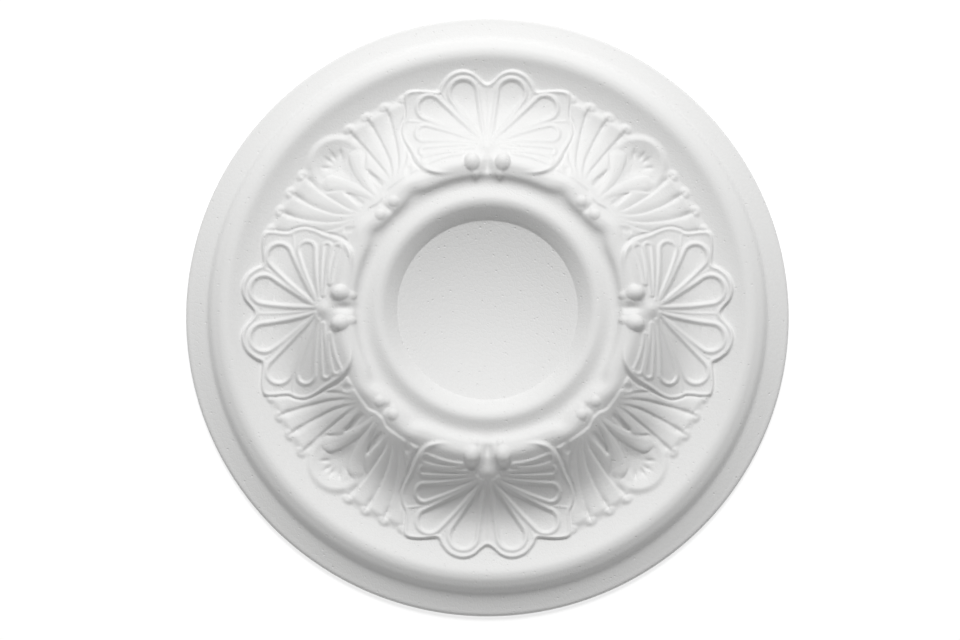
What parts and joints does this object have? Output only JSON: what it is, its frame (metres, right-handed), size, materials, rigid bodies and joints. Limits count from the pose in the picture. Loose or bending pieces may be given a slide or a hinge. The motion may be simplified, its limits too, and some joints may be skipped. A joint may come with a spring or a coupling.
{
  "type": "ceiling rose",
  "caption": "Round moulded foam ceiling rose: stepped rim, bead, hollow with shells and leaves, carved lip, ring and flat centre disc.",
  "frame": {"origin": "centre of the flat back face", "axes": "+Z out of the ornament, away from the ceiling; +X and +Y through the middle of two neighbouring shells"},
  "size_m": [0.3, 0.3, 0.0357],
  "materials": {
    "foam": "matte white expanded polystyrene with fine moulded bead texture"
  },
  "bodies": {
    "root": {"ceiling_rose": "foam"}
  },
  "joints": []
}
